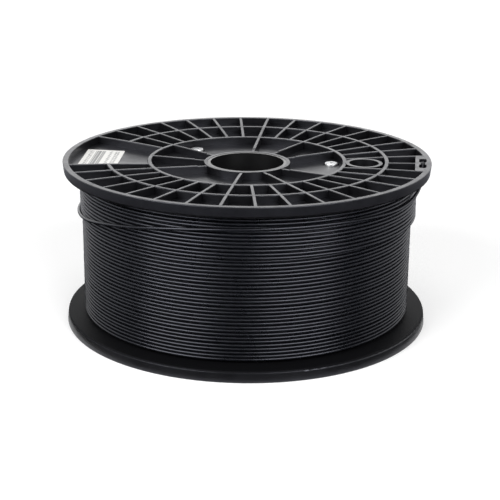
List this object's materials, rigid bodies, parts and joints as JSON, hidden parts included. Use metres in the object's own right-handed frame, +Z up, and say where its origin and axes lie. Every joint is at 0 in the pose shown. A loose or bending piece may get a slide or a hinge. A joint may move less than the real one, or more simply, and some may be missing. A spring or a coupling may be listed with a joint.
{
  "type": "filament spool",
  "caption": "Round filament spool: two ribbed flanges screwed to a winding drum with a bore sleeve, wound full of thin black filament whose end is clipped at the rim.",
  "frame": {"origin": "centre of the lower outer face, on the bore's axis", "axes": "+Z up the bore's axis from the lower flange to the upper one; the upper flange's label bay is towards -X and its filament clip towards +X"},
  "size_m": [0.2, 0.2, 0.0904],
  "materials": {
    "spool_plastic": "satin moulded black plastic",
    "sleeve_plastic": "satin extruded black plastic",
    "filament_plastic": "extruded black plastic strand",
    "zinc_screw": "bright zinc plating",
    "label_paper": "white paper sticker"
  },
  "bodies": {
    "root": {"upper_flange": "spool_plastic", "lower_flange": "spool_plastic", "winding_drum": "spool_plastic", "bore_sleeve": "sleeve_plastic", "upper_screw_1": "zinc_screw", "upper_screw_2": "zinc_screw", "upper_screw_3": "zinc_screw", "lower_screw_1": "zinc_screw", "lower_screw_2": "zinc_screw", "lower_screw_3": "zinc_screw", "paper_label": "label_paper", "filament_inner_layers": "filament_plastic", "filament_last_layer": "filament_plastic", "filament_top_layer": "filament_plastic", "filament_tail": "filament_plastic", "filament_start": "filament_plastic"}
  },
  "joints": []
}
